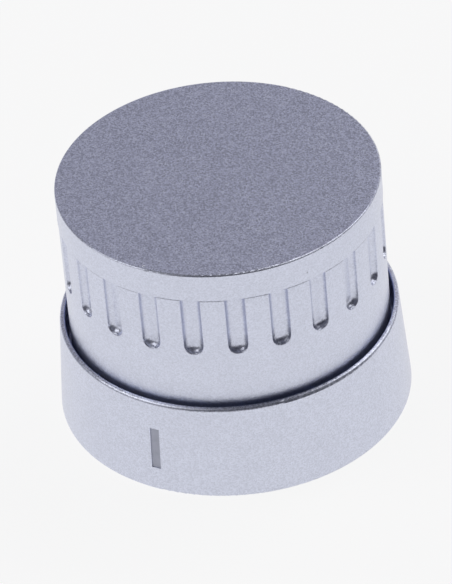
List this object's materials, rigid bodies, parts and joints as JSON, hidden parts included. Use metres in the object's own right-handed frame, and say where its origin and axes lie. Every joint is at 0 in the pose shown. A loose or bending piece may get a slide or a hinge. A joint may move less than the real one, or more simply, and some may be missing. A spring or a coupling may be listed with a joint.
{
  "type": "oven knob",
  "caption": "Cylindrical oven control knob: grooved grip with a flat cap, set in a flared pointer collar, with a flatted shaft socket underneath.",
  "frame": {"origin": "on the knob's axis, in the plane of the collar's foot, which lies against the appliance's panel", "axes": "+Z along the knob's axis, away from the panel and out through the cap; the pointer mark faces -Y; the shaft enters along +Z from below"},
  "size_m": [0.0416, 0.0416, 0.0309],
  "materials": {
    "silver_lacquer": "silver-grey metallic lacquer on plastic, satin, fine metal flake",
    "mark_paint": "mid-grey paint fill, matt",
    "black_plastic": "black heat-resistant moulding, fine grain",
    "spring_steel": "bright rolled spring steel"
  },
  "bodies": {
    "root": {"top_cap": "silver_lacquer", "grip_sleeve": "silver_lacquer", "pointer_collar": "silver_lacquer", "pointer_mark": "mark_paint", "shaft_hub": "black_plastic", "spring_band": "spring_steel"}
  },
  "joints": []
}
